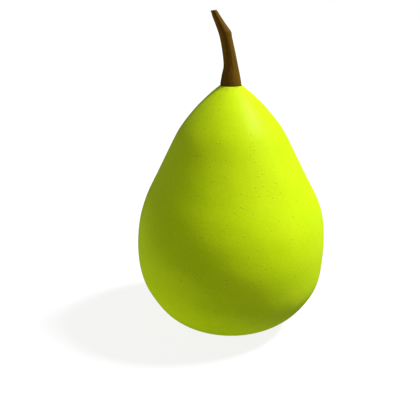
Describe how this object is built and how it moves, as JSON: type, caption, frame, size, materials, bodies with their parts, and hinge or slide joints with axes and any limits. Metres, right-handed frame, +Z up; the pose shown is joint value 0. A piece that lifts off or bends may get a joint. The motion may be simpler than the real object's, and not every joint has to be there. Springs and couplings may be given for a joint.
{
  "type": "pear",
  "caption": "Short-necked green pear with a woody, leaning stem, standing on the small flat rim round its dried calyx.",
  "frame": {"origin": "centre of the flat rim that the pear rests on, at the height of the surface it stands on", "axes": "+Z up along the fruit's axis, -Y towards the viewer's side, and the stem leans towards -X"},
  "size_m": [0.0724, 0.073, 0.1199],
  "materials": {
    "pear_skin": "satin",
    "stem_bark": "matte",
    "dried_flower": "matte"
  },
  "bodies": {
    "root": {"fruit": "pear_skin", "stem": "stem_bark", "sepal_1": "dried_flower", "sepal_2": "dried_flower", "sepal_3": "dried_flower", "sepal_4": "dried_flower", "sepal_5": "dried_flower", "dried_stamens": "dried_flower"}
  },
  "joints": []
}
